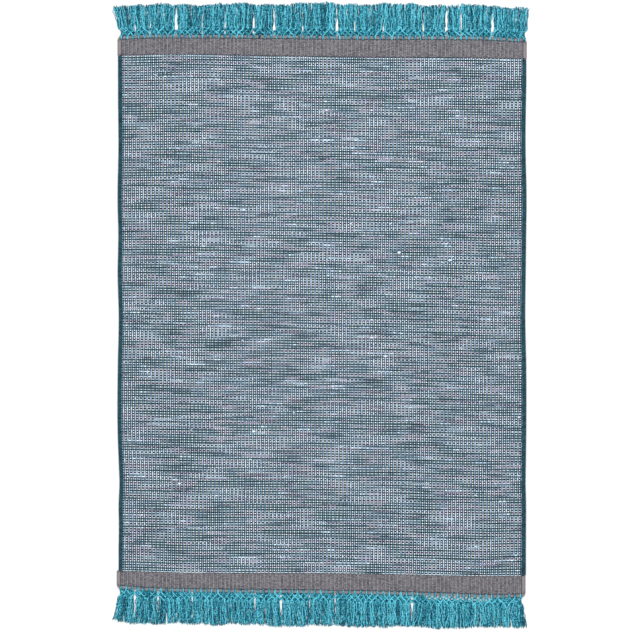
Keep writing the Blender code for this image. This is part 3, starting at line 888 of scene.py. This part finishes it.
# Over the lip: (out from it, height, share of the tie's spread).
HOOK_MM = ((-10.2, 5.0, 0.35), (-8.8, 8.4, 0.45), (-5.0, 9.9, 0.65), (-1.2, 9.0, 0.8), (1.4, 5.8, 1.0))
HOOK_LIFT = 0.9
HOOK_SPLIT = 0.7  # of the split beyond the lip
FREE_SHARES = (0.12, 0.3, 0.48, 0.66, 0.84, 1.0)  # of the free part, a control point at each
MID_RING_SHARE = 0.45  # where the slits are widest
SLIT_SHARE = 1.5  # of the shift of a lock's widest ring, that its threads take beside a slit
MID_LEAN = 0.35  # of a lock's lean, that it has at its widest ring if it is beside no slit
LEAN_POWER = 1.3  # the lean grows faster towards the tips
FREE_FAN = 0.1  # by which the threads spread towards their tips
FREE_HEIGHT = 1.25
FREE_LIFT = (1.9, 1.0)  # of every other thread, near the net and at its tip
SWAY_LIFT = 0.35
LEAN_STRAY = 1.3
TIP_STRAY = 3.0
TIP_SPARE = 2.0  # by which the longest threads pass the solid's tips
SIDE_STRAY = 3.2  # of a thread's tip
SWAY_MM = {"head": 1.5, "foot": 2.0}
TIP_MM = {"head": 0.0, "foot": 2.5}  # that the threads reach beyond the tips of the solid's locks
TIP_WAVES = ((2.5, 37, 2), (1.5, 13, 0))  # of the line of tips: height, length and start
UNDER_PLACES = (-2.8, 0.0, 2.8)  # beside a lock's middle
UNDER_HEIGHT = 1.2
UNDER_SHORTER = 3.0
UNDER_STARTS_MM = (1.0, 10, 18)
OPEN_STARTS_MM = (11, 16, 22)  # in the stretch of the foot fringe where the net's first gaps show the floor
OPEN_STRETCH = (0.31, 0.5)  # metres
# Where a thread's mesh has its rings, counted in control points.
STEPS = (0, 1, 2, 3, 4, 5, 5.5, 6, 6.5, 7, 7.5, 8, 9, 10, 11, 12, 13, 14)
LAST_RING = 0.6  # of a thread's thickness, at its tip


def lock_rings(end):
    """The middles of a fringe's locks, at their widest ring and at their tips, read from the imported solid."""
    edge_line, _, outward = band_lines(end)
    points = np.unique(points_of(f"{end}_fringe").round(6), axis=0)
    out = outward * (points[:, 1] - smooth(points[:, 0], edge_line)) / MM
    rings = []
    for near, far in LOCK_RINGS:
        ring = points[(out > near) & (out < far)]
        ring = ring[np.argsort(ring[:, 0])].reshape(LOCKS, 3, 3)
        rings.append(ring[:, (0, 2)].mean(axis=1))
    return rings


def fringe_plan(end):
    """What the threads follow: the roots, widest rings, tips and reach of the locks, and the ties' places."""
    edge_line, _, outward = band_lines(end)
    mids, tips = lock_rings(end)
    roots = mids[:, 0] - (tips[:, 0] - mids[:, 0]) * ROOT_LEAN
    first, last = STRAIGHT_TIES
    straight = np.arange(first, last + 1)
    ties = np.polyval(np.polyfit(straight, (roots[0::2] + roots[1::2])[straight] / 2, 1), np.arange(TIES))
    reach = outward * (tips[:, 1] - smooth(tips[:, 0], edge_line)) / MM + TIP_MM[end]
    for height, length, begin in TIP_WAVES:
        reach = reach + height * np.sin(roots / MM / length + begin * outward)
    pitch = (roots[2 * last] - roots[2 * first]) / (last - first)
    places = {"roots": roots, "mids": mids[:, 0], "tips": tips[:, 0], "ties": ties}
    return {**places, "reach": reach, "pitch": pitch}


def along_curve(controls, at):
    """A smooth curve through control points, stacked on axis 1, at positions counted in control points."""
    at = np.asarray(at, float)
    last = controls.shape[1] - 1
    i = np.minimum(at.astype(int), last - 1)
    t = (at - i)[:, None]
    before, start, end, after = (controls[:, np.clip(i + step, 0, last)] for step in (-1, 0, 1, 2))
    return 0.5 * (2 * start + (end - before) * t + (2 * before - 5 * start + 4 * end - after) * t * t
                  + (3 * start - before - 3 * end + after) * t ** 3)


def control_points(columns):
    """Control points from columns, each the place across, the way out and the height of every thread."""
    return np.stack([np.stack(np.broadcast_arrays(*column), axis=-1) for column in columns], axis=1)


def hanging(end, plan, chance, lock, place, loose=1.0, shorter=0.0):
    """The free part of threads, which follow their locks' lean and slits and sway a little."""
    start = CROSSINGS_MM[end][-1]
    roots, tips = plan["roots"], plan["tips"]
    lean = (tips - roots + chance.normal(0, LEAN_STRAY, LOCKS) * MM)[lock]
    opening = (plan["mids"] - roots - MID_LEAN * (tips - roots))[lock]
    reach = plan["reach"][lock] - shorter - np.abs(chance.normal(0, TIP_STRAY, len(lock))) + TIP_SPARE
    sway = chance.normal(0, SWAY_MM[end] * loose, (len(lock), len(FREE_SHARES)))
    aside = chance.normal(0, SIDE_STRAY * loose, len(lock))
    # Beside a slit, no thread strays across it.
    beside_slit = np.clip(np.abs(opening) / MM - 1, 0, 1)
    aside = aside * (1 - beside_slit) + np.abs(aside) * np.sign(opening) * beside_slit
    columns = []
    for k, share in enumerate(FREE_SHARES):
        opened = SLIT_SHARE * opening * min(share / MID_RING_SHARE, (1 - share) / (1 - MID_RING_SHARE))
        beside = place * (1 + FREE_FAN * share) + sway[:, k] + aside * share
        columns.append((
            roots[lock] + lean * share ** LEAN_POWER + opened + beside * MM,
            start + (reach - start) * share,
            FREE_HEIGHT + np.abs(sway[:, -1 - k]) * SWAY_LIFT,
        ))
    return control_points(columns)


def netted_threads(end, plan, chance):
    """The paths and tones of the long threads, from their stitch holes over lip and net to their tips."""
    ties = plan["ties"]
    tie = np.repeat(np.arange(TIES), 2 * THREADS)
    goes = np.tile(np.repeat((1, -1), THREADS), TIES)  # which way a half goes across
    place = np.tile(np.arange(THREADS) - (THREADS - 1) / 2, 2 * TIES)  # beside the middle of its half
    upper = np.tile(np.arange(THREADS) % 2, 2 * TIES)
    # Each half ends up in a lock beside the next tie. At the ends of the fringe it turns back.
    lock = np.where(goes > 0, 2 * tie + 3, 2 * tie - 2)
    lock = np.where(lock < 0, -1 - lock, np.where(lock > LOCKS - 1, 2 * LOCKS - 1 - lock, lock))
    lift = upper * UPPER_LIFT

    def away_from_tie(ties_away):
        """Where a thread is across the rug, a number of ties from its own, turned back at the ends."""
        low, high = -END_ROOM, TIES - 1 + END_ROOM
        position = tie + goes * ties_away
        position = np.where(position < low, 2 * low - position, position)
        position = np.where(position > high, 2 * high - position, position)
        return ties[0] + position * plan["pitch"]

    columns = []
    for out, height, spread in HOOK_MM:
        aside = (goes * SPLIT_MM[end] * HOOK_SPLIT + place * THREAD_GAPS["hook"]) * spread * MM
        columns.append((ties[tie] + aside, out, height + upper * HOOK_LIFT))
    split_out, *crossings_out, free_out = CROSSINGS_MM[end]
    aside = (goes * SPLIT_MM[end] + place * THREAD_GAPS["split"]) * MM
    columns.append((ties[tie] + aside, split_out - goes * place * SPLIT_SLANT, NET_HEIGHTS[0] + lift))
    over = np.where((tie + (goes > 0)) % 2 == 0, CROSSING_LIFT, -CROSSING_LIFT)
    for out, ties_away, turned in zip(crossings_out, TIES_AWAY, (1, -1)):
        stray = np.repeat(chance.normal(0, CROSSING_STRAY, (2, 2 * TIES)), THREADS, axis=1)
        columns.append((
            away_from_tie(ties_away) + (place * THREAD_GAPS["crossing"] + stray[0]) * MM,
            out - goes * place * CROSSING_SLANT + stray[1],
            NET_HEIGHTS[1] + turned * over + lift,
        ))
    aside = place * THREAD_GAPS["net's end"] * MM
    columns.append((plan["roots"][lock] + aside, free_out, NET_HEIGHTS[2] + lift))
    free = hanging(end, plan, chance, lock, place * THREAD_GAPS["free"])
    free[..., 2] += upper[:, None] * np.interp(FREE_SHARES, (0, 1), FREE_LIFT)
    controls = np.concatenate((control_points(columns), free), axis=1)
    paths = laid_out(along_curve(controls, STEPS), end)
    # The upper threads are painted lighter as painted light, and near the lip the threads are painted darker as
    # shade.
    tones = chance.normal(*THREAD_TONE, (len(tie), 1)) + UPPER_PAINTED_LIGHT * upper[:, None]
    tones = tones + chance.normal(0, THREAD_TONE_ALONG, paths.shape[:2])
    return paths, np.clip(tones + np.interp(STEPS, TONE_POINTS, NET_LIGHT_AND_SHADE[end]), 0.0, 1.1)


def low_threads(end, plan, chance):
    """The paths and tones of thicker threads straight under the net and the locks, three to a lock, painted
    dark as the shade in the net's gaps.
    """
    lock = np.repeat(np.arange(LOCKS), len(UNDER_PLACES))
    place = np.tile(UNDER_PLACES, LOCKS)
    starts = np.clip(plan["roots"][lock] + place * MM, plan["ties"][0] - MM, plan["ties"][-1] + MM)
    is_open = (end == "foot") & (starts > OPEN_STRETCH[0]) & (starts < OPEN_STRETCH[1])
    covered = control_points([
        (starts, np.where(is_open, open_out, out), UNDER_HEIGHT)
        for out, open_out in zip(UNDER_STARTS_MM, OPEN_STARTS_MM)
    ])
    free = hanging(end, plan, chance, lock, place, loose=0.3, shorter=UNDER_SHORTER)
    paths = laid_out(np.concatenate((covered, free), axis=1), end)
    # They are painted dark among the locks, as shade, and lighter towards the lip, where they fill the net's
    # gaps, as painted light, more at the foot.
    tones = chance.normal(*UNDER_SHADE_TONE, (len(lock), 1))
    return paths, np.clip(tones + np.linspace(1, 0, paths.shape[1]) ** 5 * UNDER_LIGHT_AT_LIP[end], 0, 1)


def laid_out(paths, end):
    """Points given as the place across, and millimetres out from the lip and up, put where they lie."""
    edge_line, _, outward = band_lines(end)
    y = smooth(paths[..., 0], edge_line) + outward * paths[..., 1] * MM
    return np.stack((paths[..., 0], y, paths[..., 2] * MM), axis=-1)


teal_marks = ((0.0, TEAL_DARKEST), (0.25, TEAL_DARK), (0.55, TEAL_MID), (0.95, TEAL_LIGHT))
teal_yarn = yarn_finish("teal_yarn", teal_marks, turns=0.16, roughness=0.75, sheen=0.03)
thickness = np.ones(len(STEPS)) * THREAD_RADIUS * MM
thickness[-1] *= LAST_RING
for seed, end in enumerate(ENDS, start=31):
    chance = np.random.default_rng(seed)
    plan = fringe_plan(end)
    paths, tones = netted_threads(end, plan, chance)
    threads = tubes(f"{end}_threads", paths, thickness, tones, teal_yarn, sideways=(1, 0, 0), sides=5)
    paths, tones = low_threads(end, plan, chance)
    radius = UNDER_RADIUS * MM
    under = tubes(f"{end}_under_threads", paths, radius, tones, teal_yarn, sideways=(1, 0, 0), sides=5)
    for piece in (threads, under):
        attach(piece, "root")
        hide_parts(f"{end}_fringe")
